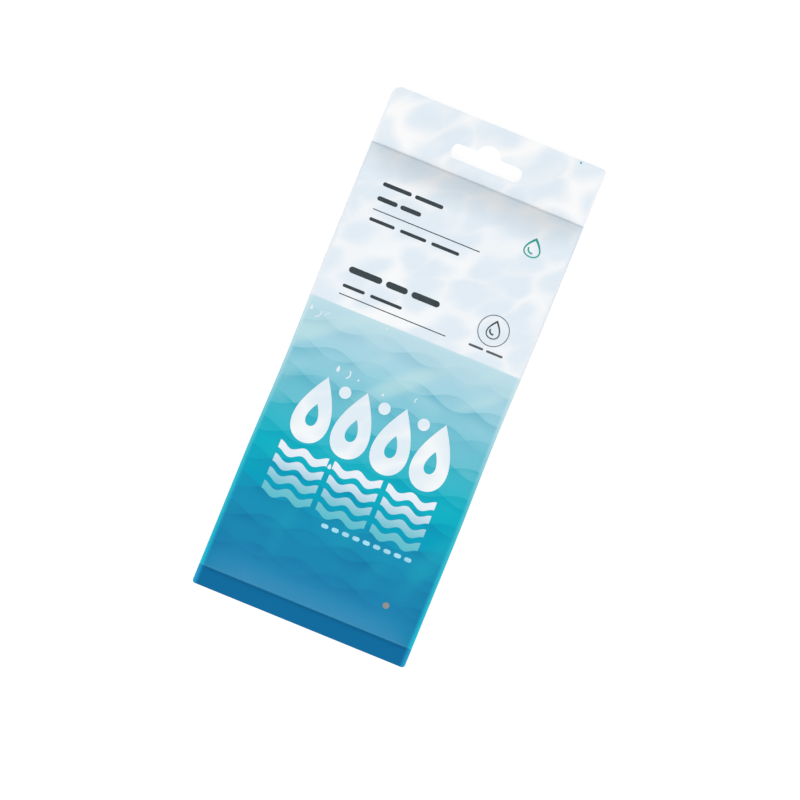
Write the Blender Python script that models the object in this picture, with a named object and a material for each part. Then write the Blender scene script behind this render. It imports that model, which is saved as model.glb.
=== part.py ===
"""A flat pack of wet cleaning cloths, lying on its back with its hanging header towards +Y.

One tube of printed film is pressed flat and sealed across both ends over a folded stack of
cloths. The pack is sealed and can't be seen into, so the film and what it holds are one solid.
The front is crowned over the stack, the back is flat where it rests, and the seam that closes
the tube lies folded down along the back.
"""

import math

import bmesh
import bpy
from mathutils import Vector

# The folded stack of cloths, in metres, and the film around it up to the folds and creases
STACK_WIDTH = 0.0760
STACK_LENGTH = 0.1500
SIDE_FILM = 0.0045
END_FILM = 0.00975

# The seals across both ends
HEADER_LENGTH = 0.0226
FOOT_SEAL_LENGTH = 0.0074
SEAL_THICKNESS = 0.0003
SEAL_HEIGHT = 0.0023

# The body: how high it is, how far it eases up from each crease, how its sides draw in, and
# the share of the crown's height that is left over the stack's two sides
THICKNESS = 0.0065
HEADER_EASE = 0.0135
FOOT_EASE = 0.0220
WAIST = 0.0010
WAIST_REACH = 0.0450
CROWN_AT_STACK_SIDE = 0.70

# Corner radii: the trimmed header corner is rounder than the three others
TRIMMED_CORNER_RADIUS = 0.0037
HEADER_CORNER_RADIUS = 0.0010
FOOT_CORNER_RADIUS = 0.0012

# Hang slot: a bar with rounded ends and a dome over its middle
SLOT_LENGTH = 0.0278
SLOT_BAR_HEIGHT = 0.0056
SLOT_END_RADIUS = 0.0024
SLOT_DOME_RADIUS = 0.0046
SLOT_DOME_SINK = 0.0009
SLOT_FILLET_RADIUS = 0.0010
SLOT_TO_TOP_EDGE = 0.0116

# Back seam: folded over to one side, with a fine step along its free edge
SEAM_WIDTH = 0.0100
SEAM_STEP_WIDTH = 0.0008
SEAM_STEP_DEPTH = 0.00025

# Where the printed fields begin, measured from the header's top edge
WATERLINE = 0.0838
TEAL_LINE = 0.1215
DEEP_LINE = 0.1500

# How finely the curved faces are divided
COLUMNS_PER_SIDE = 9
ROWS_PER_EASE = 8
BODY_ROWS = 12
ARC_STEPS = 8
SHARP_ANGLE = math.radians(14)
SAME_PLACE = 1e-6

# Worked out from the sizes above
FLAT_WIDTH = STACK_WIDTH + 2 * SIDE_FILM
LENGTH = HEADER_LENGTH + STACK_LENGTH + 2 * END_FILM + FOOT_SEAL_LENGTH
HALF_WIDTH = FLAT_WIDTH / 2
TOP_EDGE = LENGTH / 2
FOOT_EDGE = -LENGTH / 2
HEADER_CREASE = TOP_EDGE - HEADER_LENGTH
FOOT_CREASE = FOOT_EDGE + FOOT_SEAL_LENGTH
BODY_MIDDLE = (HEADER_CREASE + FOOT_CREASE) / 2
SEAL_TOP = SEAL_HEIGHT + SEAL_THICKNESS
STACK_TOP_END = HEADER_CREASE - END_FILM
STACK_FOOT_END = FOOT_CREASE + END_FILM
CROWN_POWER = math.log(1 - CROWN_AT_STACK_SIDE**2) / math.log(STACK_WIDTH / FLAT_WIDTH)

# Film colours and where each field starts, as a distance from the header's top edge
FIELDS = (
    ("pale_film", 0.0, (0.76, 0.84, 0.91), 0.35),
    ("light_water_film", WATERLINE, (0.32, 0.61, 0.73), 0.30),
    ("teal_film", TEAL_LINE, (0.02, 0.42, 0.55), 0.28),
    ("deep_film", DEEP_LINE, (0.015, 0.22, 0.44), 0.28),
    ("foot_seal_film", LENGTH - FOOT_SEAL_LENGTH, (0.006, 0.15, 0.34), 0.28),
)


def clear_scene():
    for old in list(bpy.data.objects):
        bpy.data.objects.remove(old, do_unlink=True)


def new_collection(name):
    collection = bpy.data.collections.new(name)
    bpy.context.scene.collection.children.link(collection)
    return collection


def film_material(name, colour, roughness):
    material = bpy.data.materials.new(name)
    material.use_nodes = True
    shader = material.node_tree.nodes["Principled BSDF"]
    shader.inputs["Base Color"].default_value = (*colour, 1.0)
    shader.inputs["Roughness"].default_value = roughness
    shader.inputs["Metallic"].default_value = 0.0
    material.diffuse_color = (*colour, 1.0)
    return material


def clamp(value):
    return min(max(value, 0.0), 1.0)


def eased(distance, reach):
    """0 at a crease, rising steeply at first and level once reach is passed."""
    return 1 - (1 - clamp(distance / reach)) ** 2


def front_height(x, y):
    """The front film: level with the seals at every edge, crowned over the stack."""
    across = math.sqrt(clamp(1 - abs(x / HALF_WIDTH) ** CROWN_POWER))
    along = eased(HEADER_CREASE - y, HEADER_EASE) * eased(y - FOOT_CREASE, FOOT_EASE)
    return SEAL_TOP + (THICKNESS - SEAL_TOP) * across * along


def back_height(x, y):
    """The back film: flat under the stack, and rounded up to the seals around it."""
    beyond = clamp((abs(x) - STACK_WIDTH / 2) / SIDE_FILM)
    across = math.sqrt(1 - beyond**2)
    along = eased(HEADER_CREASE - y, END_FILM) * eased(y - FOOT_CREASE, END_FILM)
    return SEAL_HEIGHT * (1 - across * along) + seam_step(x, y)


def seam_step(x, y):
    """How far the film steps in beside the seam's free edge, from one seal to the other."""
    if not FOOT_CREASE < y < HEADER_CREASE:
        return 0.0
    from_middle = abs(x - SEAM_WIDTH - SEAM_STEP_WIDTH / 2) / (SEAM_STEP_WIDTH / 2)
    return SEAM_STEP_DEPTH * (1 - clamp(from_middle))


def drawn_in(y):
    """How far the side folds come in where the stack fills the tube, as a factor on x."""
    near = 1 - clamp(abs(y - BODY_MIDDLE) / WAIST_REACH)
    return 1 - WAIST / FLAT_WIDTH * math.sin(math.pi / 2 * near) ** 2


def column_stations():
    """Cuts along the pack, closer together where the section turns down to the side folds."""
    turns = [math.pi / 2 * i / COLUMNS_PER_SIDE for i in range(1, COLUMNS_PER_SIDE)]
    side = [HALF_WIDTH * math.sin(turn) ** (2 / CROWN_POWER) for turn in turns]
    side.append(STACK_WIDTH / 2)
    seam = [SEAM_WIDTH + SEAM_STEP_WIDTH * share for share in (0, 0.5, 1)]
    return [0.0] + side + [-x for x in side] + seam


def row_stations():
    """Cuts across the pack: the creases, the eased ends, the body and the printed fields."""
    eased_rows = [i / ROWS_PER_EASE for i in range(ROWS_PER_EASE + 1)]
    header_end = [HEADER_CREASE - HEADER_EASE * share for share in eased_rows]
    foot_end = [FOOT_CREASE + FOOT_EASE * share for share in eased_rows]
    body_length = header_end[-1] - foot_end[-1]
    body = [foot_end[-1] + body_length * i / BODY_ROWS for i in range(1, BODY_ROWS)]
    fields = [TOP_EDGE - start for _, start, _, _ in FIELDS[1:-1]]
    return header_end + foot_end + body + fields + [STACK_TOP_END, STACK_FOOT_END]


def spaced(stations, least):
    """The stations in order, without those that nearly coincide with one before."""
    kept = []
    for station in sorted(stations):
        if not kept or station - kept[-1] > least:
            kept.append(station)
    return kept


def round_corner(bm, x, y, radius):
    """Rounds the flat slab's upright corner edge at x, y."""
    corners = [
        edge
        for edge in bm.edges
        if all(abs(vert.co.x - x) < SAME_PLACE for vert in edge.verts)
        and all(abs(vert.co.y - y) < SAME_PLACE for vert in edge.verts)
    ]
    bmesh.ops.bevel(
        bm,
        geom=corners,
        offset=radius,
        offset_type="OFFSET",
        segments=ARC_STEPS,
        profile=0.5,
        affect="EDGES",
        clamp_overlap=False,
    )


def cut_at(bm, stations, axis):
    for station in stations:
        bmesh.ops.bisect_plane(
            bm,
            geom=bm.verts[:] + bm.edges[:] + bm.faces[:],
            plane_co=axis * station,
            plane_no=axis,
            dist=SAME_PLACE / 10,
        )


def field_of(y):
    """The number of the printed field that a point on the film lies in."""
    from_top = TOP_EDGE - y
    return sum(from_top > start for _, start, _, _ in FIELDS[1:])


def make_pouch(collection):
    """A flat slab with its corners rounded, cut along the stations and drawn out in height."""
    bm = bmesh.new()
    bmesh.ops.create_cube(bm, size=1.0)
    bmesh.ops.scale(bm, vec=Vector((FLAT_WIDTH, LENGTH, SEAL_THICKNESS)), verts=bm.verts)
    round_corner(bm, -HALF_WIDTH, TOP_EDGE, TRIMMED_CORNER_RADIUS)
    round_corner(bm, HALF_WIDTH, TOP_EDGE, HEADER_CORNER_RADIUS)
    round_corner(bm, -HALF_WIDTH, FOOT_EDGE, FOOT_CORNER_RADIUS)
    round_corner(bm, HALF_WIDTH, FOOT_EDGE, FOOT_CORNER_RADIUS)
    cut_at(bm, spaced(column_stations(), SEAM_STEP_WIDTH / 4), Vector((1, 0, 0)))
    cut_at(bm, spaced(row_stations(), SEAM_STEP_WIDTH / 4), Vector((0, 1, 0)))
    for vert in bm.verts:
        height = front_height if vert.co.z > 0 else back_height
        vert.co.z = height(vert.co.x, vert.co.y)
        vert.co.x *= drawn_in(vert.co.y)
    bmesh.ops.triangulate(bm, faces=bm.faces[:])
    for face in bm.faces:
        face.material_index = field_of(face.calc_center_median().y)
    mesh = bpy.data.meshes.new("pouch")
    bm.to_mesh(mesh)
    bm.free()
    for name, _, colour, roughness in FIELDS:
        mesh.materials.append(film_material(name, colour, roughness))
    mesh.shade_smooth()
    mesh.set_sharp_from_angle(angle=SHARP_ANGLE)
    pouch = bpy.data.objects.new("pouch", mesh)
    collection.objects.link(pouch)
    return pouch


def arc(centre, radius, start, end):
    """Points along an arc, with angles in degrees, turning from start to end."""
    angles = [math.radians(start + (end - start) * i / ARC_STEPS) for i in range(ARC_STEPS + 1)]
    return [(centre[0] + radius * math.cos(a), centre[1] + radius * math.sin(a)) for a in angles]


def slot_outline():
    """The slot: its right half from the foot of the bar to the crown of the dome, then its left."""
    bar_top = TOP_EDGE - SLOT_TO_TOP_EDGE
    bar_foot = bar_top - SLOT_BAR_HEIGHT
    end_radius = min(SLOT_END_RADIUS, SLOT_BAR_HEIGHT / 2)
    end_x = SLOT_LENGTH / 2 - end_radius
    dome_y = bar_top - SLOT_DOME_SINK
    fillet_y = bar_top + SLOT_FILLET_RADIUS
    reach = SLOT_DOME_RADIUS + SLOT_FILLET_RADIUS
    fillet_x = math.sqrt(reach**2 - (fillet_y - dome_y) ** 2)
    lean = math.degrees(math.atan2(fillet_y - dome_y, fillet_x))
    right = arc((end_x, bar_foot + end_radius), end_radius, -90, 0)
    right += arc((end_x, bar_top - end_radius), end_radius, 0, 90)
    right += arc((fillet_x, fillet_y), SLOT_FILLET_RADIUS, 270, 180 + lean)
    right += arc((0.0, dome_y), SLOT_DOME_RADIUS, lean, 90)
    left = [(-x, y) for x, y in reversed(right[:-1])]
    return right + left


def make_slot_cutter(collection):
    """An upright prism on the slot's outline that runs past both faces of the header."""
    outline = slot_outline()
    curve = bpy.data.curves.new("slot_outline", "CURVE")
    curve.dimensions = "2D"
    curve.fill_mode = "BOTH"
    curve.extrude = THICKNESS
    spline = curve.splines.new("POLY")
    spline.points.add(len(outline) - 1)
    for point, (x, y) in zip(spline.points, outline):
        point.co = (x, y, 0, 1)
    spline.use_cyclic_u = True
    drawn = bpy.data.objects.new("slot_outline", curve)
    collection.objects.link(drawn)
    graph = bpy.context.evaluated_depsgraph_get()
    mesh = bpy.data.meshes.new_from_object(drawn.evaluated_get(graph))
    bpy.data.objects.remove(drawn, do_unlink=True)
    bm = bmesh.new()
    bm.from_mesh(mesh)
    bmesh.ops.remove_doubles(bm, verts=bm.verts, dist=SAME_PLACE)
    bmesh.ops.recalc_face_normals(bm, faces=bm.faces)
    bm.to_mesh(mesh)
    bm.free()
    cutter = bpy.data.objects.new("slot_cutter", mesh)
    cutter.hide_render = True
    cutter.display_type = "WIRE"
    collection.objects.link(cutter)
    return cutter


def cut_slot(pouch, cutter):
    cut = pouch.modifiers.new("hang_slot", "BOOLEAN")
    cut.operation = "DIFFERENCE"
    cut.solver = "EXACT"
    cut.object = cutter


def main():
    clear_scene()
    pack = new_collection("cleaning_cloth_pack")
    cutters = new_collection("cutters")
    pouch = make_pouch(pack)
    cut_slot(pouch, make_slot_cutter(cutters))


main()
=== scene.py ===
"""The looks of a flat pack of wet cleaning cloths: printed glossy film around a folded stack.

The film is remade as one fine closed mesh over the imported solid. Its fields of colour, its
ripples and its waves are in its material. The shapes printed on it are thin geometry that lies
on the film and follows it.
"""

import math

import bmesh
import bpy
import numpy as np
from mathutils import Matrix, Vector
from mathutils.geometry import delaunay_2d_cdt


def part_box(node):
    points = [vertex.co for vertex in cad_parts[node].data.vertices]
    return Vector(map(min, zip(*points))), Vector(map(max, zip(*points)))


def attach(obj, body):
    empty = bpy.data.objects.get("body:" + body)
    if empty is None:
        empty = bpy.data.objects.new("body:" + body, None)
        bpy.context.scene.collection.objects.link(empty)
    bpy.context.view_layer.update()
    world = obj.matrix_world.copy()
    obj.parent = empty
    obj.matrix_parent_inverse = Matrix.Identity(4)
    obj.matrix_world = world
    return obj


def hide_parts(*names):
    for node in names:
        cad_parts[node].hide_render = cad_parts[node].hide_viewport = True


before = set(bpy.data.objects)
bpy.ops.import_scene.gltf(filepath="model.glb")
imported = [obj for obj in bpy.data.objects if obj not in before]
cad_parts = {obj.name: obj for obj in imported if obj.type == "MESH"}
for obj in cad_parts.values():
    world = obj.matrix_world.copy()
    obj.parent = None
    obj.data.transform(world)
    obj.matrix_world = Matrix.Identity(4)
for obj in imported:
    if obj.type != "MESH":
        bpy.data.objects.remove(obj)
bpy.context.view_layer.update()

MM = 0.001

# Points closer together than this are taken as one
SAME_PLACE = 0.001 * MM

# The film's outer sizes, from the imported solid
low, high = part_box("pouch")
FLAT_WIDTH = high.x - low.x
LENGTH = high.y - low.y
THICKNESS = high.z
HALF_WIDTH = FLAT_WIDTH / 2
TOP_EDGE = high.y
FOOT_EDGE = low.y

# The seals and the crowned body between their creases, as the solid has them
HEADER_LENGTH = 22.6 * MM
FOOT_SEAL_LENGTH = 7.4 * MM
SEAL_HEIGHT = 2.3 * MM
SEAL_THICKNESS = 0.3 * MM
SIDE_FILM = 4.5 * MM
END_FILM = 9.75 * MM
HEADER_EASE = 13.5 * MM
FOOT_EASE = 22 * MM
CROWN_AT_STACK_SIDE = 0.70
WAIST = 1.0 * MM
WAIST_REACH = 45 * MM
HEADER_CREASE = TOP_EDGE - HEADER_LENGTH
FOOT_CREASE = FOOT_EDGE + FOOT_SEAL_LENGTH
BODY_MIDDLE = (HEADER_CREASE + FOOT_CREASE) / 2
SEAL_TOP = SEAL_HEIGHT + SEAL_THICKNESS
CROWN_POWER = math.log(1 - CROWN_AT_STACK_SIDE**2) / math.log(1 - 2 * SIDE_FILM / FLAT_WIDTH)

# Corners, as (side, end, radius): the trimmed header corner is rounder than the others
CORNERS = ((-1, 1, 3.7 * MM), (1, 1, 1.0 * MM), (-1, -1, 1.2 * MM), (1, -1, 1.2 * MM))

# Hang slot, as the solid has it
SLOT_LENGTH = 27.8 * MM
SLOT_BAR_HEIGHT = 5.6 * MM
SLOT_END_RADIUS = 2.4 * MM
SLOT_DOME_RADIUS = 4.6 * MM
SLOT_DOME_SINK = 0.9 * MM
SLOT_FILLET_RADIUS = 1.0 * MM
SLOT_TO_TOP_EDGE = 11.6 * MM

# How the film leaves a seal: it dips at the crease, and at the header it springs up from there
CREASE_RUN = 0.45 * MM
CREASE_DIP = 0.06 * MM
CREASE_DIP_REACH = 0.8 * MM
CREASE_LIFT = 0.06

# Over the straight end of the stack the film is flatter across than over the stack's middle
HEADER_CROWN_POWER = 14

# Gathers out of each seal, as (height, wavelength, phase)
HEADER_GATHERS = ((0.030 * MM, 13.0 * MM, 0.4), (0.020 * MM, 7.9 * MM, 2.1))
FOOT_GATHERS = ((0.020 * MM, 11.5 * MM, 1.3), (0.015 * MM, 8.3 * MM, 0.2))
GATHER_REACH = 5.0 * MM
GATHER_SIDE_POWER = 8

# Waves of the seals, written like the gathers, and how much of them the short foot seal has
SEAL_WAVES = ((0.10 * MM, 41 * MM, 0.7), (0.06 * MM, 23 * MM, 2.9))
FOOT_WAVE_SHARE = 0.5

# Back seam: a strip of film folded down to one side, let into the back by its thickness
SEAM_WIDTH = 10 * MM
SEAM_RECESS = 0.22 * MM
SEAM_PLY = 0.18 * MM
SEAM_PROUD = 0.12 * MM
SEAM_CLEARANCE = 0.6 * MM
SEAM_RIB_PITCH = 1.5 * MM
SEAM_RIB_DEPTH = 0.07 * MM
SEAM_RIB_EDGE = 0.5 * MM
RECESS_LEFT = -SEAM_CLEARANCE / 3
RECESS_RIGHT = SEAM_WIDTH + SEAM_CLEARANCE

# Cuts along the film: how many from its middle to a side fold, from where on they are used, the
# even ones between, and how far apart the two at each edge of the seam's recess are
FOLD_CUTS = 27
FOLD_START = 34 * MM
MIDDLE_CUTS = np.arange(-33, 33.5, 1.1) * MM
RECESS_STEP = 0.04 * MM

# Cuts across the film: steps in from each end and places about each crease, both in mm, and the
# even steps between
END_STEPS = np.array([0, 0.12, 0.18, 0.25, 0.3, 0.35, 0.4, 0.5, 0.6, 0.7, 0.8])
CREASE_CUTS = np.array([-0.8, -0.5, -0.3, -0.15, 0, 0.15, 0.3, 0.45, 0.9])
ROW_STEP = 0.9 * MM
FOOT_ROW_STEP = 0.7 * MM

# Cuts along the seam, in mm from its left edge, and how many rows each rib has
SEAM_CUTS = np.array([0, 0.15, 0.5, 2, 4, 6, 8, 9.5, 9.85, 10])
ROWS_PER_RIB = 4

# Edges that turn by more than this stay sharp
SHARP_DEGREES = 24

# Printed shapes lie this far out of the film, and as far into it
INK = 0.03 * MM
INK_STEP = 1.5 * MM
CDT_TOLERANCE = 1e-7
NORMAL_STEP = 0.05 * MM

# How many sides round outlines get
ROUND_END_STEPS = 6
STROKE_STEPS = 14
STROKE_END_STEPS = 5
DROP_STEPS = 44
WAVE_STEPS = 28

# A drop's form: how pointed its tip is, and how wide it swells
DROP_POINT = 1.1
DROP_SWELL = 0.6

# The photograph: where its 800 x 800 frame shows the pack
PHOTO_SIZE = 800
PACK_PIXEL = (399.4, 376.2)
PIXELS_PER_MM = 2.6945
PACK_TURN = math.radians(22.2)
CAMERA_HEIGHT = 1.6
SENSOR_WIDTH = 36.0


def srgb(red, green, blue):
    """A colour written as 0 to 255 on screen, as Blender's linear values."""
    shares = [value / 255 for value in (red, green, blue)]
    return tuple(v / 12.92 if v <= 0.04045 else ((v + 0.055) / 1.055) ** 2.4 for v in shares)


WHITE = srgb(255, 255, 255)
WATER_SHADE = srgb(6, 92, 146)
INK_DARK = srgb(58, 68, 73)
INK_GREY = srgb(92, 99, 104)
INK_TEAL = srgb(58, 160, 148)
INK_PALE = srgb(160, 216, 235)
INK_DOT = srgb(138, 138, 136)
INK_SPECK = srgb(96, 170, 196)

# Where the print changes down the pack, in mm from its top edge
PAGE_LENGTH = LENGTH / MM
HEADER_FOLD = HEADER_LENGTH / MM
WATERLINE = 83.8
SEAL_FOLD = (LENGTH - FOOT_SEAL_LENGTH) / MM

# The film's print down its length, as (mm from the top edge, colour), with painted shade in it
PALE_FIELD = srgb(229, 240, 249)
FILM_COLOURS = (
    (0.0, PALE_FIELD),
    (HEADER_FOLD - 0.2, PALE_FIELD),
    # Painted shade: a bluer tint on the slope that falls away below the header crease
    (HEADER_FOLD + 0.6, srgb(231, 245, 255)),
    (35.0, PALE_FIELD),
    (WATERLINE - 0.2, PALE_FIELD),
    (WATERLINE + 0.2, srgb(194, 226, 236)),
    (94.0, srgb(172, 217, 231)),
    (104.0, srgb(150, 210, 225)),
    (112.5, srgb(116, 197, 215)),
    (121.5, srgb(103, 195, 211)),
    (126.0, srgb(62, 187, 204)),
    (132.0, srgb(48, 185, 203)),
    (139.0, srgb(12, 179, 198)),
    (151.0, srgb(0, 162, 192)),
    (160.0, srgb(21, 149, 186)),
    (170.0, srgb(24, 138, 179)),
    (179.0, srgb(22, 127, 172)),
    (SEAL_FOLD - 0.1, srgb(28, 126, 168)),
    # Painted shade: a thin dark line on the foot seal just below its crease
    (SEAL_FOLD + 0.2, srgb(4, 94, 139)),
    (SEAL_FOLD + 1.5, srgb(7, 106, 157)),
    (199.5, srgb(8, 106, 157)),
)

# A painted highlight along both side folds, and painted shade in it below the header crease
FOLD_HIGHLIGHT_AND_SHADE_COLOURS = (
    (0.0, srgb(243, 248, 252)),
    (HEADER_FOLD - 0.2, srgb(243, 248, 252)),
    # Painted shade in the highlight strip on the slope below the header crease
    (HEADER_FOLD + 0.6, srgb(227, 236, 246)),
    (32.0, srgb(229, 237, 246)),
    (44.0, srgb(237, 243, 248)),
    (WATERLINE - 0.2, srgb(238, 243, 248)),
    (WATERLINE + 0.2, srgb(214, 236, 242)),
    (104.0, srgb(184, 225, 235)),
    (118.0, srgb(150, 214, 226)),
    (134.0, srgb(84, 201, 216)),
    (151.0, srgb(42, 195, 214)),
    (176.0, srgb(22, 190, 212)),
    (SEAL_FOLD - 0.1, srgb(30, 188, 212)),
    (SEAL_FOLD + 0.2, srgb(36, 158, 205)),
    (199.5, srgb(40, 164, 210)),
)

# White ink that sinks into the water's colour
FADING_COLOURS = (
    (137.0, srgb(244, 246, 252)),
    (142.5, srgb(226, 238, 248)),
    (147.5, srgb(176, 214, 230)),
    (153.0, srgb(123, 198, 213)),
    (159.5, srgb(88, 190, 205)),
)

# Nets of light. Their cells slant by degrees and have a length and width in mm. A net starts and
# is full at these distances from a cell's middle, in cells. A seed shifts it.
BROAD_NET = dict(degrees=34, length=19.0, width=12.0, start=0.22, full=0.76, seed=19.6)
FINE_NET = dict(degrees=30, length=14.5, width=9.0, start=0.22, full=0.78, seed=5.4)
WHITE_INK_NET = dict(degrees=34, length=20.0, width=12.0, start=0.3, full=0.76, seed=11.7)
NET_BEND_SCALE = 0.8
NET_BEND = (1.1, 1.1, 0)
NET_SMOOTHNESS = 0.12
FINE_NET_ON_HEADER = 0.3
BROAD_NET_ENDS = (18.0, 30.0)

# Patches where the fine net and the water's layers are weaker or stronger, as (start and end on a
# noise from 0 to 1, strength there)
NET_PATCHES = (0.36, 0.64, 0.55, 0.85)
LAYER_PATCHES = (0.36, 0.62, 0.45, 1.35)

# The layers of water, in two runs that cross, each as (phase in radians, place of its first
# crest). Places and lengths are in mm.
WATER_LAYERS = ((0.2, 79.0), (math.pi + 0.2, 79.6))
WAVE_LENGTH = 32.2
WAVE_RISE = 2.4
LAYER_DEPTH = 11.1
LAYER_POWER = 2.6
WAVES_START = (WATERLINE + 0.2, WATERLINE + 10.2)
WAVES_END = (182.0, 188.0)
WATER_CALMS = (148.0, 166.0)

# How a layer's shade moves the field's colours along the pack, as a factor and a start in mm
LAYER_PULL = (4.6, -2.6)

# Shafts of light: where they start and end down the pack, how strong they are, their colour, and
# their form, written like that of the nets
SHAFTS = (
    (
        (WATERLINE - 0.2, WATERLINE + 0.6), (98.0, 124.0), 0.44, srgb(206, 236, 234),
        dict(degrees=40, length=46.0, width=9.0, start=0.48, full=0.74, seed=2.6),
    ),
    (
        (126.0, 142.0), (168.0, 190.0), 0.3, srgb(36, 176, 192),
        dict(degrees=76, length=34.0, width=14.0, start=0.52, full=0.76, seed=7.0),
    ),
)

# The painted highlight along a side fold is this wide, in mm, above and below where it widens
FOLD_HIGHLIGHT_WIDENS = (140.0, 165.0)
FOLD_HIGHLIGHT_WIDTHS = (2.0, 2.35)

# Ink is lighter in places, by a factor and a share, in a grain of this scale
INK_LIGHTER = (1.12, 0.004)
INK_GRAIN_SCALE = 260.0

# The gloss of printed laminate, and its faint unevenness
SPECULAR = 0.08
ROUGHNESS = (0.26, 0.34)
ROUGHNESS_SCALE = 90.0
BUMP_SCALE = 180.0
BUMP_STRENGTH = 0.25
BUMP_HEIGHT = 0.05 * MM

# A mix node's sockets for its factor, its two colours and its result
MIX_FACTOR, MIX_A, MIX_B, MIXED = 0, 6, 7, 2

# The floor, the even light and the soft lamps. Each lamp has its azimuth and elevation in
# degrees, its distance and size in metres, and its power in watts.
FLOOR_SIZE = 30.0
FLOOR_GAP = 0.1 * MM
FLOOR_LIT = (0.8, 0.8, 0.8, 1)
FLOOR_SEEN = (0.2, 0.2, 0.2, 1)
FLOOR_GLOW = 0.9
AMBIENT = 0.49
LAMPS = (
    ("key", -2, 36, 4.0, 2.9, 132.0),
    ("left_fill", -95, 14, 3.0, 1.5, 12.0),
    ("right_fill", 95, 14, 3.0, 1.5, 14.0),
)


def eased(distance, reach):
    """0 at a crease, rising steeply at first and level once reach is passed."""
    return 1 - (1 - np.clip(distance / reach, 0, 1)) ** 2


def waves(x, parts):
    """A sum of sine waves, each given as (height, wavelength, phase)."""
    return sum(size * np.sin(2 * np.pi * x / length + phase) for size, length, phase in parts)


def gathers(x, y):
    """Small folds that run out of each seal into the body and die away."""
    total = 0.0
    for depth, parts in ((HEADER_CREASE - y, HEADER_GATHERS), (y - FOOT_CREASE, FOOT_GATHERS)):
        near = np.clip(depth, 0, None) / GATHER_REACH
        total = total + near * np.exp(1 - near) * waves(x, parts)
    return total * np.clip(1 - np.abs(x / HALF_WIDTH) ** GATHER_SIDE_POWER, 0, 1)


def seal_wave(x, y):
    """How the thin seals lie slightly wavy, more so towards their free edges."""
    header = np.clip((y - HEADER_CREASE) / HEADER_LENGTH, 0, 1)
    foot = np.clip((FOOT_CREASE - y) / FOOT_SEAL_LENGTH, 0, 1)
    at_foot = FOOT_WAVE_SHARE * foot * waves(x + LENGTH, SEAL_WAVES)
    return header * waves(x, SEAL_WAVES) + at_foot


def front_height(x, y):
    """The front film: level with the seals at every edge, crowned over the stack."""
    from_header, from_foot = HEADER_CREASE - y, y - FOOT_CREASE
    across = np.sqrt(np.clip(1 - np.abs(x / HALF_WIDTH) ** CROWN_POWER, 0, 1))
    at_header = np.sqrt(np.clip(1 - np.abs(x / HALF_WIDTH) ** HEADER_CROWN_POWER, 0, 1))
    across = across + (at_header - across) * (1 - np.clip(from_header / HEADER_EASE, 0, 1))
    lift = np.clip(from_header / CREASE_RUN, 0, 1)
    header_end = CREASE_LIFT * lift + (1 - CREASE_LIFT) * eased(from_header, HEADER_EASE)
    crown = (THICKNESS - SEAL_TOP) * across * header_end * eased(from_foot, FOOT_EASE)
    return SEAL_TOP + crown + gathers(x, y) + seal_wave(x, y) - crease_dip(from_header, from_foot)


def crease_dip(from_header, from_foot):
    """A shallow groove along both creases, wider on the side of the seal."""
    inside = np.minimum(from_header, from_foot)
    in_seal = np.clip(-inside / CREASE_DIP_REACH, 0, 1)
    in_body = np.clip(inside / CREASE_RUN, 0, 1)
    return CREASE_DIP * (1 - in_seal) ** 2 * (1 - in_body)


def back_panel(x, y):
    """The back film without its seam: flat under the stack, rounded up to the seals."""
    beyond = np.clip((np.abs(x) - HALF_WIDTH + SIDE_FILM) / SIDE_FILM, 0, 1)
    along = eased(HEADER_CREASE - y, END_FILM) * eased(y - FOOT_CREASE, END_FILM)
    return SEAL_HEIGHT * (1 - np.sqrt(1 - beyond**2) * along) + seal_wave(x, y)


def in_body(y):
    """1 between the creases and 0 on the seals, with a short run between them."""
    inside = np.minimum(HEADER_CREASE - y, y - FOOT_CREASE)
    return np.clip(inside / CREASE_RUN, 0, 1)


def back_height(x, y):
    """The back film, let in under the seam so that the strip lies flush with it."""
    recess = (x > RECESS_LEFT) & (x < RECESS_RIGHT)
    return back_panel(x, y) + SEAM_RECESS * recess * in_body(y)


def drawn_in(y):
    """How far the side folds come in where the stack fills the tube, as a factor on x."""
    near = 1 - np.clip(np.abs(y - BODY_MIDDLE) / WAIST_REACH, 0, 1)
    return 1 - WAIST / FLAT_WIDTH * np.sin(np.pi / 2 * near) ** 2


def round_corners(x, y):
    """Draws the square corners of the grid in to quarter circles."""
    x, y = x.copy(), y.copy()
    for side, end, radius in CORNERS:
        u = (side * x - HALF_WIDTH + radius) / radius
        v = (end * y - LENGTH / 2 + radius) / radius
        corner = (u > 0) & (v > 0)
        x[corner] += side * radius * (u * np.sqrt(1 - v**2 / 2) - u)[corner]
        y[corner] += end * radius * (v * np.sqrt(1 - u**2 / 2) - v)[corner]
    return x, y


def column_stations():
    """Cuts along the pack, close together where the section turns down to the side folds."""
    turns = np.linspace(0, np.pi / 2, FOLD_CUTS)
    side = HALF_WIDTH * np.sin(turns) ** (2 / CROWN_POWER)
    side = side[side > FOLD_START]
    half = RECESS_STEP / 2
    edges = (RECESS_LEFT, RECESS_RIGHT)
    recess = np.array([edge + beside for edge in edges for beside in (-half, half)])
    clear = np.abs(MIDDLE_CUTS[:, None] - recess).min(1) > 5 * RECESS_STEP
    return np.sort(np.concatenate([-side, MIDDLE_CUTS[clear], recess, side]))


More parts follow.
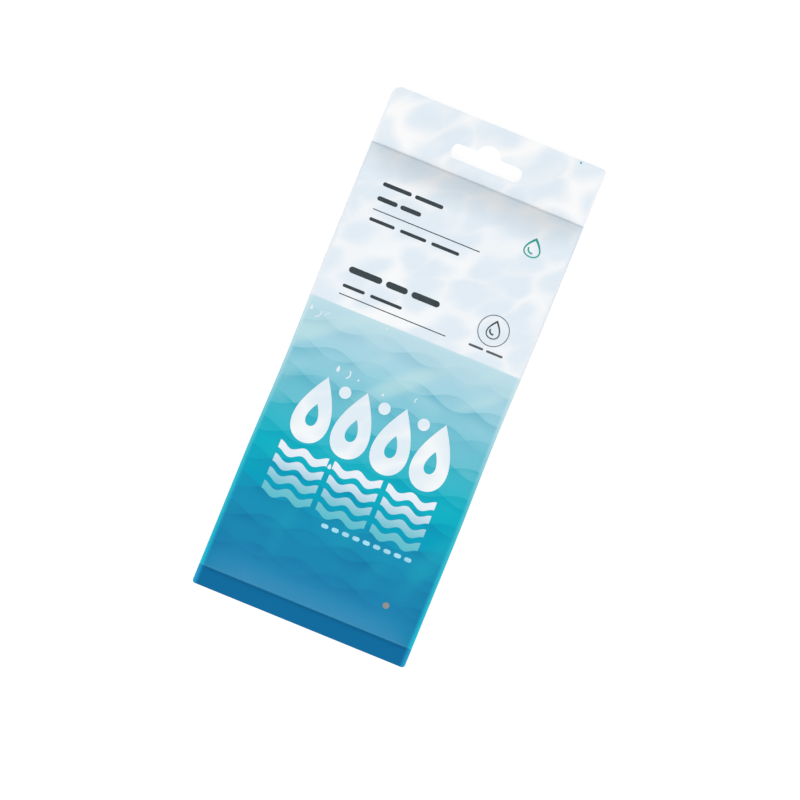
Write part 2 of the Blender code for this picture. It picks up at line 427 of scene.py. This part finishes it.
def row_stations():
    """Cuts across the pack, close together at both ends and at both creases."""
    end = np.cumsum(END_STEPS) * MM
    crease = CREASE_CUTS * MM
    rows = [TOP_EDGE - end, FOOT_EDGE + end, HEADER_CREASE - crease, FOOT_CREASE + crease]
    rows.append(np.arange(FOOT_CREASE + 1.6 * MM, HEADER_CREASE - 1.4 * MM, ROW_STEP))
    rows.append(np.arange(HEADER_CREASE + 1.3 * MM, TOP_EDGE - 4.6 * MM, ROW_STEP))
    rows.append(np.arange(FOOT_EDGE + 4.8 * MM, FOOT_CREASE - 1.1 * MM, FOOT_ROW_STEP))
    return np.sort(np.concatenate(rows))


def new_mesh_object(name, points, faces):
    mesh = bpy.data.meshes.new(name)
    mesh.from_pydata([tuple(p) for p in points], [], [tuple(f) for f in faces])
    mesh.validate()
    obj = bpy.data.objects.new(name, mesh)
    bpy.context.scene.collection.objects.link(obj)
    return obj


def closed_sheet(name, x, y, over, under):
    """A closed mesh between two heights over one grid of points, given as 2D arrays."""
    rows, columns = x.shape
    count = rows * columns
    top = np.stack([x, y, over], axis=-1).reshape(-1, 3)
    bottom = np.stack([x, y, under], axis=-1).reshape(-1, 3)
    index = np.arange(count).reshape(rows, columns)
    a, b, c, d = index[:-1, :-1], index[:-1, 1:], index[1:, 1:], index[1:, :-1]
    quads = np.stack([a, b, c, d], axis=-1).reshape(-1, 4)
    rim = np.concatenate([index[0, :-1], index[:-1, -1], index[-1, :0:-1], index[:0:-1, 0]])
    after = np.roll(rim, -1)
    wall = np.stack([rim, rim + count, after + count, after], axis=-1)
    faces = np.concatenate([quads, quads[:, ::-1] + count, wall])
    return new_mesh_object(name, np.concatenate([top, bottom]), faces)


def smooth(obj):
    obj.data.shade_smooth()
    obj.data.set_sharp_from_angle(angle=math.radians(SHARP_DEGREES))


def arc(centre, radius, start, end, steps=12):
    """Points along an arc, with angles in degrees, turning from start to end."""
    angles = np.radians(np.linspace(start, end, steps + 1))
    return [(centre[0] + radius * math.cos(a), centre[1] + radius * math.sin(a)) for a in angles]


def slot_outline():
    """The slot: its right half from the foot of the bar to the crown of the dome, then its left."""
    bar_top = TOP_EDGE - SLOT_TO_TOP_EDGE
    bar_foot = bar_top - SLOT_BAR_HEIGHT
    end_x = SLOT_LENGTH / 2 - SLOT_END_RADIUS
    dome_y = bar_top - SLOT_DOME_SINK
    fillet_y = bar_top + SLOT_FILLET_RADIUS
    reach = SLOT_DOME_RADIUS + SLOT_FILLET_RADIUS
    fillet_x = math.sqrt(reach**2 - (fillet_y - dome_y) ** 2)
    lean = math.degrees(math.atan2(fillet_y - dome_y, fillet_x))
    right = arc((end_x, bar_foot + SLOT_END_RADIUS), SLOT_END_RADIUS, -90, 0)
    right += arc((end_x, bar_top - SLOT_END_RADIUS), SLOT_END_RADIUS, 0, 90)
    right += arc((fillet_x, fillet_y), SLOT_FILLET_RADIUS, 270, 180 + lean)
    right += arc((0.0, dome_y), SLOT_DOME_RADIUS, lean, 90, steps=20)
    return right + [(-x, y) for x, y in reversed(right[:-1])]


def make_slot_cutter():
    """An upright prism on the slot's outline that runs past both faces of the header."""
    outline = slot_outline()
    count = len(outline)
    points = [(x, y, z) for z in (-THICKNESS, 2 * THICKNESS) for x, y in outline]
    walls = [(i, (i + 1) % count, (i + 1) % count + count, i + count) for i in range(count)]
    ends = [tuple(range(count))[::-1], tuple(range(count, 2 * count))]
    return new_mesh_object("slot_cutter", points, walls + ends)


def cut_slot(obj, cutter):
    """Cuts the hang slot and leaves the result, without slivers, as the object's own mesh."""
    cut = obj.modifiers.new("hang_slot", "BOOLEAN")
    cut.operation = "DIFFERENCE"
    cut.solver = "EXACT"
    cut.object = cutter
    graph = bpy.context.evaluated_depsgraph_get()
    mesh = bpy.data.meshes.new_from_object(obj.evaluated_get(graph))
    obj.modifiers.clear()
    bm = bmesh.new()
    bm.from_mesh(mesh)
    bmesh.ops.remove_doubles(bm, verts=bm.verts, dist=SAME_PLACE)
    bmesh.ops.dissolve_degenerate(bm, edges=bm.edges, dist=SAME_PLACE)
    bm.to_mesh(mesh)
    bm.free()
    mesh.name = obj.name
    obj.data = mesh


def make_film():
    flat_x, flat_y = np.meshgrid(column_stations(), row_stations())
    flat_x, flat_y = round_corners(flat_x, flat_y)
    x = flat_x * drawn_in(flat_y)
    over = front_height(flat_x, flat_y)
    under = back_height(flat_x, flat_y)
    return closed_sheet("film", x, flat_y, over, under)


def make_back_seam():
    """The strip along the back where the tube is closed, with its pressed cross ribs."""
    columns = SEAM_CUTS / SEAM_CUTS[-1] * SEAM_WIDTH
    rows = np.linspace(FOOT_EDGE, TOP_EDGE, 1 + ROWS_PER_RIB * round(LENGTH / SEAM_RIB_PITCH))
    x, y = np.meshgrid(columns, rows)
    on_rib = np.sin(np.pi * (y - FOOT_EDGE) / SEAM_RIB_PITCH) ** 2
    inside = np.clip(np.minimum(x, SEAM_WIDTH - x) / SEAM_RIB_EDGE, 0, 1)
    face = back_panel(x, y) - SEAM_PROUD * (1 - in_body(y))
    under = face + SEAM_RIB_DEPTH * on_rib * inside
    return closed_sheet("back_seam", x * drawn_in(y), y, face + SEAM_PLY, under)


def page(across, down):
    """A place on the front, in mm from the pack's left and top edges, as flat x and y."""
    return across * MM - HALF_WIDTH, TOP_EDGE - down * MM


def inside_loops(x, y, loops):
    """Which points lie inside an odd number of the closed loops."""
    odd = np.zeros(len(x), bool)
    for loop in loops:
        px, py = np.array(loop).T
        qx, qy = np.roll(px, -1), np.roll(py, -1)
        crosses = (py[:, None] > y) != (qy[:, None] > y)
        rise = np.where(qy == py, 1, qy - py)[:, None]
        at = px[:, None] + (y - py[:, None]) * (qx - px)[:, None] / rise
        odd ^= (crosses & (x < at)).sum(0) % 2 == 1
    return odd


def even_steps(loop, step):
    """A closed loop with points added so that no side is longer than the step."""
    points = []
    for (ax, ay), (bx, by) in zip(loop, loop[1:] + loop[:1]):
        parts = max(1, math.ceil(math.hypot(bx - ax, by - ay) / step))
        points += [(ax + (bx - ax) * i / parts, ay + (by - ay) * i / parts) for i in range(parts)]
    return points


def fill(loops):
    """Flat triangles, facing up, over all that lies inside an odd number of the closed loops."""
    rim = np.array([p for loop in loops for p in loop])
    edges, start = [], 0
    for loop in loops:
        edges += [(start + i, start + (i + 1) % len(loop)) for i in range(len(loop))]
        start += len(loop)
    grid_x, grid_y = np.meshgrid(
        np.arange(rim[:, 0].min(), rim[:, 0].max(), INK_STEP),
        np.arange(rim[:, 1].min(), rim[:, 1].max(), INK_STEP),
    )
    grid = np.stack([grid_x.ravel(), grid_y.ravel()], axis=1)
    if len(grid):
        gap = np.abs(grid[:, None] - rim).max(2).min(1)
        grid = grid[inside_loops(*grid.T, loops) & (gap > INK_STEP / 3)]
    flat = [Vector(p) for p in np.concatenate([rim, grid])]
    verts, _, tris, _, _, _ = delaunay_2d_cdt(flat, edges, [], 0, CDT_TOLERANCE)
    place = np.array([tuple(v) for v in verts])
    tris = np.array(tris)
    tris = tris[inside_loops(*place[tris].mean(1).T, loops)]
    a, b, c = (place[tris[:, i]] for i in range(3))
    turn = (b - a)[:, 0] * (c - a)[:, 1] - (b - a)[:, 1] * (c - a)[:, 0]
    tris[turn < 0] = tris[turn < 0][:, ::-1]
    used, tris = np.unique(tris, return_inverse=True)
    return place[used], tris.reshape(-1, 3)


def rim_sides(tris):
    """The sides that only one triangle has, each in the direction of its triangle."""
    sides = np.concatenate([tris[:, [0, 1]], tris[:, [1, 2]], tris[:, [2, 0]]]).tolist()
    known = {(p, q) for p, q in sides}
    return np.array([(p, q) for p, q in sides if (q, p) not in known])


def printed(name, shapes, material):
    """Thin ink on the front film. Each shape is a list of closed loops in page mm."""
    points, normals, faces, first = [], [], [], 0
    for shape in shapes:
        place, tris = fill([even_steps([page(*p) for p in loop], INK_STEP) for loop in shape])
        count = len(place)
        x, y = place.T
        at = np.stack([x * drawn_in(y), y, front_height(x, y)], axis=1)
        points += [at + (0, 0, INK), at - (0, 0, INK)]
        normals += [film_normals(x, y), np.zeros((count, 3))]
        p, q = rim_sides(tris).T
        wall = np.stack([p, p + count, q + count, q], axis=1)
        for part in (tris, tris[:, ::-1] + count, wall):
            faces += (part + first).tolist()
        first += 2 * count
    obj = new_mesh_object(name, np.concatenate(points), faces)
    lay_normals(obj, np.concatenate(normals))
    dress(obj, material)


def film_normals(x, y):
    """The front film's own normals, so that ink on it catches light as the film does."""
    step = NORMAL_STEP
    slope_x = (front_height(x + step, y) - front_height(x - step, y)) / (2 * step)
    slope_y = (front_height(x, y + step) - front_height(x, y - step)) / (2 * step)
    normal = np.stack([-slope_x, -slope_y, np.ones_like(x)], axis=1)
    return normal / np.linalg.norm(normal, axis=1, keepdims=True)


def lay_normals(obj, normals):
    """Gives the faces that look up the normals of the film, and leaves the others flat."""
    mesh = obj.data
    loops = np.zeros((len(mesh.loops), 3))
    for polygon in mesh.polygons:
        if polygon.normal.z > 0.5:
            for i in polygon.loop_indices:
                loops[i] = normals[mesh.loops[i].vertex_index]
    mesh.normals_split_custom_set([tuple(n) for n in loops])


def dress(obj, material):
    """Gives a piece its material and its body."""
    obj.data.materials.clear()
    obj.data.materials.append(material)
    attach(obj, "root")


# Outlines of what is printed, in page mm


def circle(across, down, radius, steps=40):
    turns = [2 * math.pi * i / steps for i in range(steps)]
    return [(across + radius * math.cos(t), down + radius * math.sin(t)) for t in turns]


def bar(start, end, down, height):
    """A bar with round ends, level across the page."""
    r = height / 2
    turns = [math.radians(-90 + 180 * i / ROUND_END_STEPS) for i in range(ROUND_END_STEPS + 1)]
    points = [(end - r + r * math.cos(t), down + r * math.sin(t)) for t in turns]
    return points + [(start + r - r * math.cos(t), down - r * math.sin(t)) for t in turns]


def bars(starts_and_ends, down, height):
    return [[bar(start, end, down, height)] for start, end in starts_and_ends]


def drop(across, tip, width, height):
    """A water drop, point upwards, from its tip down to its round foot."""
    points = []
    for i in range(DROP_STEPS):
        t = 2 * math.pi * i / DROP_STEPS
        swell = math.sin(t) * abs(math.sin(t / 2)) ** DROP_POINT
        points.append((across + DROP_SWELL * width * swell, tip + height * (1 - math.cos(t)) / 2))
    return points


def stroke_arc(across, down, radius, start, end, width):
    """A stroke along an arc with round ends. Angles in degrees, clockwise on the page."""
    def round_end(at, turn):
        angle = math.radians(at)
        centre = (across + radius * math.cos(angle), down + radius * math.sin(angle))
        return arc(centre, width / 2, turn, turn + 180, STROKE_END_STEPS)[1:-1]

    outer = arc((across, down), radius + width / 2, start, end, STROKE_STEPS)
    inner = arc((across, down), radius - width / 2, end, start, STROKE_STEPS)
    return outer + round_end(end, end) + inner + round_end(start, start + 180)


def wave_bar(start, end, down, thickness, rise, length):
    """A thick wave with straight ends."""
    xs = [start + (end - start) * i / WAVE_STEPS for i in range(WAVE_STEPS + 1)]
    crest = [down - rise * math.cos(2 * math.pi * (x - start) / length) for x in xs]
    upper = [(x, y - thickness / 2) for x, y in zip(xs, crest)]
    return upper + [(x, y + thickness / 2) for x, y in reversed(list(zip(xs, crest)))]


# Materials


class Nodes:
    """Short calls for building a material's node tree."""

    def __init__(self, name):
        self.material = bpy.data.materials.new(name)
        self.material.use_nodes = True
        self.tree = self.material.node_tree
        self.shader = self.tree.nodes["Principled BSDF"]

    def add(self, kind, **settings):
        node = self.tree.nodes.new(kind)
        for name, value in settings.items():
            setattr(node, name, value)
        return node

    def put(self, socket, value):
        """Links a socket to another one, or gives it a value or a colour."""
        if isinstance(value, bpy.types.NodeSocket):
            self.tree.links.new(value, socket)
        elif socket.type == "RGBA":
            socket.default_value = (*value, 1)
        else:
            socket.default_value = value

    def calc(self, operation, a, b=0.0, c=0.0, clamp=False):
        node = self.add("ShaderNodeMath", operation=operation, use_clamp=clamp)
        for socket, value in zip(node.inputs, (a, b, c)):
            self.put(socket, value)
        return node.outputs[0]

    def product(self, first, *others):
        for other in others:
            first = self.calc("MULTIPLY", first, other)
        return first

    def between(self, value, start, end, low=0.0, high=1.0):
        """A smooth step from low at start to high at end."""
        node = self.add("ShaderNodeMapRange", interpolation_type="SMOOTHSTEP")
        names = ("Value", "From Min", "From Max", "To Min", "To Max")
        for name, given in zip(names, (value, start, end, low, high)):
            self.put(node.inputs[name], given)
        return node.outputs["Result"]

    def mix(self, factor, a, b):
        """The first colour where the factor is 0, the second where it is 1."""
        node = self.add("ShaderNodeMix", data_type="RGBA")
        self.put(node.inputs[MIX_FACTOR], factor)
        self.put(node.inputs[MIX_A], a)
        self.put(node.inputs[MIX_B], b)
        return node.outputs[MIXED]

    def vector(self, x, y):
        node = self.add("ShaderNodeCombineXYZ")
        self.put(node.inputs["X"], x)
        self.put(node.inputs["Y"], y)
        return node.outputs[0]

    def noise(self, vector, scale, detail=1.0, dimensions="3D", output="Fac"):
        """A noise from 0 to 1."""
        node = self.add("ShaderNodeTexNoise", noise_dimensions=dimensions)
        self.put(node.inputs["Vector"], vector)
        self.put(node.inputs["Scale"], scale)
        self.put(node.inputs["Detail"], detail)
        return node.outputs[output]

    def noise_vector(self, vector, scale):
        """A noise that moves points sideways, from -0.5 to 0.5 each way."""
        moves = self.noise(vector, scale, dimensions="2D", output="Color")
        return self.shifted(moves, (-0.5, -0.5, -0.5))

    def shifted(self, vector, by):
        node = self.add("ShaderNodeVectorMath", operation="ADD")
        self.put(node.inputs[0], vector)
        self.put(node.inputs[1], by)
        return node.outputs[0]

    def ramp(self, down, stops):
        """The colour down the pack, from stops given as (mm from its top edge, colour)."""
        node = self.add("ShaderNodeValToRGB")
        elements = node.color_ramp.elements
        while len(elements) < len(stops):
            elements.new(0.5)
        for element, (place, colour) in zip(elements, stops):
            element.position = place / PAGE_LENGTH
            element.color = (*colour, 1)
        self.put(node.inputs["Fac"], self.calc("DIVIDE", down, PAGE_LENGTH))
        return node.outputs["Color"]

    def here(self):
        return self.add("ShaderNodeTexCoord").outputs["Object"]

    def page_mm(self):
        """How far a point is from the middle of the pack's width and from its top edge, in mm."""
        split = self.add("ShaderNodeSeparateXYZ")
        self.put(split.inputs[0], self.here())
        across = self.product(split.outputs["X"], 1 / MM)
        down = self.calc("MULTIPLY_ADD", split.outputs["Y"], -1 / MM, TOP_EDGE / MM)
        return across, down

    def turned(self, across, down, degrees, length, width):
        """The place along and beside a slanting line, in units of a length and a width."""
        c, s = math.cos(math.radians(degrees)), math.sin(math.radians(degrees))
        along = self.calc("SUBTRACT", self.product(across, c), self.product(down, s))
        beside = self.calc("ADD", self.product(across, s), self.product(down, c))
        return self.vector(self.calc("DIVIDE", along, length), self.calc("DIVIDE", beside, width))

    def finish_film(self, colour):
        """The gloss of printed laminate, with a faint uneven surface."""
        self.put(self.shader.inputs["Base Color"], colour)
        self.put(self.shader.inputs["Specular IOR Level"], SPECULAR)
        here = self.here()
        uneven = self.noise(here, ROUGHNESS_SCALE)
        self.put(self.shader.inputs["Roughness"], self.between(uneven, 0.3, 0.7, *ROUGHNESS))
        bump = self.add("ShaderNodeBump")
        self.put(bump.inputs["Strength"], BUMP_STRENGTH)
        self.put(bump.inputs["Distance"], BUMP_HEIGHT)
        self.put(bump.inputs["Height"], self.noise(here, BUMP_SCALE))
        self.put(self.shader.inputs["Normal"], bump.outputs["Normal"])
        return self.material


def light_net(n, across, down, degrees, length, width, start, full, seed):
    """Light as on the floor of a pool: a soft bright net around slanting darker cells."""
    place = n.turned(across, down, degrees, length, width)
    bent = n.add("ShaderNodeVectorMath", operation="MULTIPLY_ADD")
    n.put(bent.inputs[0], n.noise_vector(n.shifted(place, (seed, 0, 0)), NET_BEND_SCALE))
    n.put(bent.inputs[1], NET_BEND)
    n.put(bent.inputs[2], n.shifted(place, (seed, 2 * seed, 0)))
    cells = n.add("ShaderNodeTexVoronoi", voronoi_dimensions="2D", feature="SMOOTH_F1")
    n.put(cells.inputs["Vector"], bent.outputs[0])
    n.put(cells.inputs["Scale"], 1.0)
    n.put(cells.inputs["Smoothness"], NET_SMOOTHNESS)
    return n.between(cells.outputs["Distance"], start, full)


def pool_light(n, across, down):
    """A broad bright net over the header, and a finer, weaker one over the body below it."""
    header = n.between(down, *BROAD_NET_ENDS, 1.0, 0.0)
    body = n.calc("SUBTRACT", 1.0, header)
    broad = light_net(n, across, down, **BROAD_NET)
    fine = light_net(n, across, down, **FINE_NET)
    uneven = n.noise(n.turned(across, down, degrees=36, length=40.0, width=18.0), 1.0)
    over_body = n.product(fine, n.between(uneven, *NET_PATCHES))
    over_header = n.calc("MAXIMUM", broad, n.product(fine, FINE_NET_ON_HEADER))
    return n.calc("ADD", n.product(over_header, header), n.product(over_body, body), clamp=True)


def water_layers(n, across, down, phase, first):
    """Layers of water: each starts darker along a wavy line and clears towards the next."""
    angle = n.calc("MULTIPLY_ADD", across, 2 * math.pi / WAVE_LENGTH, phase)
    crest = n.product(n.calc("SINE", angle), WAVE_RISE)
    place = n.calc("SUBTRACT", n.calc("SUBTRACT", down, first), crest)
    part = n.calc("FRACT", n.calc("DIVIDE", place, LAYER_DEPTH))
    return n.calc("POWER", n.calc("SUBTRACT", 1.0, part), LAYER_POWER)


def wave_shade(n, across, down):
    """Two crossing runs of layers, stronger in some places than in others."""
    total = n.calc("ADD", *[water_layers(n, across, down, *each) for each in WATER_LAYERS])
    patches = n.noise(n.vector(n.calc("DIVIDE", across, 19.0), n.calc("DIVIDE", down, 12.0)), 1.0)
    return n.product(total, n.between(patches, *LAYER_PATCHES))


def streaks(n, across, down, degrees, length, width, start, full, seed):
    """Soft shafts of light that fall from the upper right, each of its own width."""
    place = n.shifted(n.turned(across, down, degrees, length, width), (seed, seed, 0))
    return n.between(n.noise(place, 1.0, detail=0.0), start, full)


def layered_water(n, across, down):
    """The field's colours down the pack, pulled along and shaded by the layers of water."""
    watered = n.product(n.between(down, *WAVES_START), n.between(down, *WAVES_END, 1.0, 0.0))
    shade = n.product(wave_shade(n, across, down), watered)
    swing = n.product(watered, n.between(down, *WATER_CALMS, 1.0, 0.25))
    deeper = n.product(n.calc("MULTIPLY_ADD", shade, *LAYER_PULL), swing)
    field = n.ramp(n.calc("ADD", down, deeper), FILM_COLOURS)
    darker = n.between(down, *WATER_CALMS, 0.075, 0.17)
    return n.mix(n.product(shade, darker), field, WATER_SHADE)


def film_colour(n, across, down):
    """The film's own print: pale field, waterline, layered water and foot seal. Painted shade lies
    near both creases, and a painted highlight along both side folds.
    """
    base = layered_water(n, across, down)
    above_water = n.between(down, WATERLINE - 0.2, WATERLINE + 0.2, 1.0, 0.0)
    base = n.mix(n.product(pool_light(n, across, down), above_water), base, WHITE)
    for starts, ends, strength, colour, form in SHAFTS:
        reach = n.product(n.between(down, *starts), n.between(down, *ends, 1.0, 0.0))
        base = n.mix(n.product(streaks(n, across, down, **form), reach, strength), base, colour)
    # Painted highlight: a paler strip along both side folds
    fold_highlight_width = n.between(down, *FOLD_HIGHLIGHT_WIDENS, *FOLD_HIGHLIGHT_WIDTHS)
    on_fold_highlight = n.between(from_fold(n, across, down), 0.1, fold_highlight_width, 1.0, 0.0)
    return n.mix(on_fold_highlight, base, n.ramp(down, FOLD_HIGHLIGHT_AND_SHADE_COLOURS))


def from_fold(n, across, down):
    """How far a point is from the nearer side fold, in mm, with the sides drawn in."""
    middle = (TOP_EDGE - BODY_MIDDLE) / MM
    off = n.calc("ABSOLUTE", n.calc("SUBTRACT", down, middle))
    near = n.calc("SUBTRACT", 1.0, n.calc("DIVIDE", off, WAIST_REACH / MM), clamp=True)
    swing = n.calc("POWER", n.calc("SINE", n.product(near, math.pi / 2)), 2.0)
    side = n.calc("MULTIPLY_ADD", swing, -WAIST / 2 / MM, HALF_WIDTH / MM)
    return n.calc("SUBTRACT", side, n.calc("ABSOLUTE", across))


def film_material():
    # The film's print, with painted shade and painted highlights in it
    n = Nodes("printed_film")
    across, down = n.page_mm()
    return n.finish_film(film_colour(n, across, down))


def ink_material(name, colour):
    """Plain ink with a slightly uneven tone."""
    n = Nodes(name)
    uneven = n.noise(n.here(), INK_GRAIN_SCALE, detail=2.0)
    factor, share = INK_LIGHTER
    lighter = tuple(min(1.0, value * factor + share) for value in colour)
    return n.finish_film(n.mix(n.between(uneven, 0.35, 0.65), colour, lighter))


def white_ink_material():
    """White ink over the water, with light playing over it as over the pale field."""
    n = Nodes("white_ink")
    across, down = n.page_mm()
    net = light_net(n, across, down, **WHITE_INK_NET)
    return n.finish_film(n.mix(net, srgb(228, 240, 248), srgb(246, 250, 252)))


def fading_ink_material():
    """White ink that sinks into the water colour towards the foot of the shapes."""
    n = Nodes("fading_ink")
    _, down = n.page_mm()
    return n.finish_film(n.ramp(down, FADING_COLOURS))


# What is printed on the front, in generic shapes


def print_front():
    dark = ink_material("dark_ink", INK_DARK)
    grey = ink_material("grey_ink", INK_GREY)
    white = white_ink_material()
    printed("print_header_lines", bars([(10.0, 21.4), (22.8, 34.0)], 36.0, 1.5), dark)
    printed("print_header_line_two", bars([(10.0, 18.0), (19.2, 27.4)], 41.6, 1.7), dark)
    printed("print_upper_rule", [[bar(10.0, 52.7, 46.0, 0.36)]], dark)
    small = bars([(10.1, 20.2), (22.4, 32.8), (34.9, 46.0)], 49.8, 1.25)
    printed("print_small_lines", small, dark)
    printed("print_title", bars([(10.2, 23.4), (25.0, 33.6), (35.2, 46.4)], 69.9, 2.4), dark)
    printed("print_count_line", bars([(10.2, 19.0), (21.2, 33.8)], 76.3, 1.2), dark)
    printed("print_lower_rule", [[bar(10.0, 52.7, 79.65, 0.36)]], dark)
    printed("print_badge_caption", bars([(61.8, 67.6), (68.8, 75.4)], 79.0, 0.85), grey)
    ring = [circle(68.5, 71.1, 6.0, 64), circle(68.5, 71.1, 5.68, 64)]
    printed("print_badge_ring", [ring], grey)
    hollow_drop = [drop(68.5, 66.9, 5.9, 7.4), drop(68.5, 67.9, 4.9, 6.0)]
    printed("print_badge_drop", [hollow_drop], dark)
    printed("print_badge_glint", [[stroke_arc(68.5, 71.2, 1.35, 80, 185, 0.6)]], dark)
    teal = ink_material("teal_ink", INK_TEAL)
    emblem = [drop(70.4, 33.1, 7.2, 7.8), drop(70.4, 34.35, 5.9, 6.05)]
    printed("print_emblem_drop", [emblem], teal)
    printed("print_emblem_glint", [[stroke_arc(70.4, 37.75, 1.55, 80, 185, 0.6)]], teal)
    middles = [18.1 + 15.9 * i for i in range(4)]
    big = [[drop(at, 109.9, 15.9, 26.1), drop(at, 120.6, 4.9, 8.8)] for at in middles]
    big += [[circle(26.05 + 15.9 * i, 113.0, 2.3)] for i in range(3)]
    printed("print_big_drops", big, white)
    tiles = []
    for i in range(3):
        start = 10.7 + 21.55 * i
        tiles += [[wave_bar(start, start + 19.4, 140.4 + 5.4 * k, 3.1, 1.0, 9.7)] for k in range(4)]
    printed("print_wave_tiles", tiles, fading_ink_material())
    dashes = [(36.5 + 4.15 * i, 39.3 + 4.15 * i) for i in range(9)]
    pale = ink_material("pale_ink", INK_PALE)
    printed("print_small_dashes", bars(dashes, 161.6, 1.6), pale)
    printed("print_splash", splash(), white)
    printed("print_dot", [[circle(70.0, 180.3, 1.24)]], ink_material("dot_ink", INK_DOT))
    printed("print_speck", [[circle(75.0, 0.95, 0.42, 16)]], ink_material("speck_ink", INK_SPECK))


def splash():
    """Small drops and glints thrown up over the water."""
    drops = (
        (2.4, 87.2, 1.3, 1.9), (20.3, 104.4, 1.4, 2.5), (28.9, 106.3, 0.7, 1.1),
        (39.4, 107.9, 0.8, 1.1), (31.6, 84.6, 0.7, 0.9), (31.2, 139.4, 1.5, 2.1),
    )
    arcs = (
        (4.4, 88.8, 2.2, -10, 75, 0.45), (10.6, 90.2, 2.6, 195, 250, 0.32),
        (23.4, 106.2, 1.9, -40, 60, 0.5), (52.6, 106.0, 1.2, 150, 230, 0.34),
    )
    return [[drop(*each)] for each in drops] + [[stroke_arc(*each)] for each in arcs]


# Floor, lights and camera


def shader_node(tree, kind, **values):
    node = tree.nodes.new(kind)
    for name, value in values.items():
        node.inputs[name].default_value = value
    return node


def seen_directly(tree):
    """1 for rays from the camera and for those that a gloss or a clear part sends on."""
    paths = tree.nodes.new("ShaderNodeLightPath")
    seen = paths.outputs["Is Camera Ray"]
    for kind in ("Is Glossy Ray", "Is Transmission Ray"):
        either = tree.nodes.new("ShaderNodeMath")
        either.operation = "MAXIMUM"
        tree.links.new(seen, either.inputs[0])
        tree.links.new(paths.outputs[kind], either.inputs[1])
        seen = either.outputs[0]
    return seen


def by_ray(tree, lighting, shown, surface):
    """One shader lights the scene, and the other is what is seen directly."""
    mix = tree.nodes.new("ShaderNodeMixShader")
    tree.links.new(seen_directly(tree), mix.inputs[0])
    tree.links.new(lighting.outputs[0], mix.inputs[1])
    tree.links.new(shown.outputs[0], mix.inputs[2])
    tree.links.new(mix.outputs[0], surface)


def make_floor():
    """A white floor: it shows white to the camera, but keeps the pack's soft shadow."""
    bpy.ops.mesh.primitive_plane_add(size=FLOOR_SIZE, location=(0, 0, low.z - FLOOR_GAP))
    floor = bpy.context.object
    floor.name = "floor"
    material = bpy.data.materials.new("floor_white")
    material.use_nodes = True
    tree = material.node_tree
    tree.nodes.clear()
    plain = shader_node(tree, "ShaderNodeBsdfDiffuse", Color=FLOOR_LIT)
    shaded = shader_node(tree, "ShaderNodeBsdfDiffuse", Color=FLOOR_SEEN)
    glow = shader_node(tree, "ShaderNodeEmission", Strength=FLOOR_GLOW)
    both = tree.nodes.new("ShaderNodeAddShader")
    tree.links.new(shaded.outputs[0], both.inputs[0])
    tree.links.new(glow.outputs[0], both.inputs[1])
    out = tree.nodes.new("ShaderNodeOutputMaterial")
    by_ray(tree, plain, both, out.inputs["Surface"])
    floor.data.materials.append(material)


def make_world():
    """White to the camera and in reflections, and an even ambient light on the pack."""
    world = bpy.data.worlds.new("studio")
    bpy.context.scene.world = world
    world.use_nodes = True
    tree = world.node_tree
    light = tree.nodes["Background"]
    light.inputs["Color"].default_value = (1, 1, 1, 1)
    light.inputs["Strength"].default_value = AMBIENT
    white = shader_node(tree, "ShaderNodeBackground", Color=(1, 1, 1, 1), Strength=1.0)
    by_ray(tree, light, white, tree.nodes["World Output"].inputs["Surface"])


def soft_lamp(name, azimuth, elevation, distance, size, power):
    """A square soft light aimed at the pack. Azimuth 0 stands at its foot, 90 at its right."""
    data = bpy.data.lights.new(name, "AREA")
    data.size = size
    data.energy = power
    lamp = bpy.data.objects.new(name, data)
    a, e = math.radians(azimuth), math.radians(elevation)
    place = Vector((math.sin(a) * math.cos(e), -math.cos(a) * math.cos(e), math.sin(e))) * distance
    lamp.location = place
    lamp.rotation_euler = (-place).to_track_quat("-Z", "Y").to_euler()
    bpy.context.scene.collection.objects.link(lamp)


def make_camera():
    """Looks straight down on the front, turned and placed as in the photograph."""
    data = bpy.data.cameras.new("camera")
    camera = bpy.data.objects.new("camera", data)
    bpy.context.scene.collection.objects.link(camera)
    bpy.context.scene.camera = camera
    right = Vector((math.cos(PACK_TURN), math.sin(PACK_TURN), 0))
    up = Vector((-math.sin(PACK_TURN), math.cos(PACK_TURN), 0))
    pixel = MM / PIXELS_PER_MM
    middle = PHOTO_SIZE / 2
    aim = right * (middle - PACK_PIXEL[0]) * pixel - up * (middle - PACK_PIXEL[1]) * pixel
    camera.location = aim + Vector((0, 0, CAMERA_HEIGHT + SEAL_TOP))
    camera.rotation_euler = (0, 0, PACK_TURN)
    data.sensor_width = SENSOR_WIDTH
    data.lens = SENSOR_WIDTH * CAMERA_HEIGHT / (PHOTO_SIZE * pixel)
    data.clip_end = 100


film = make_film()
back_seam = make_back_seam()
slot_cutter = make_slot_cutter()
for piece in (film, back_seam):
    cut_slot(piece, slot_cutter)
    smooth(piece)
bpy.data.objects.remove(slot_cutter, do_unlink=True)
film_print_and_painted_light = film_material()
dress(film, film_print_and_painted_light)
dress(back_seam, film_print_and_painted_light)
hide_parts("pouch")
print_front()

make_floor()
make_world()
for lamp in LAMPS:
    soft_lamp(*lamp)
make_camera()

view = bpy.context.scene.view_settings
view.view_transform = "Standard"
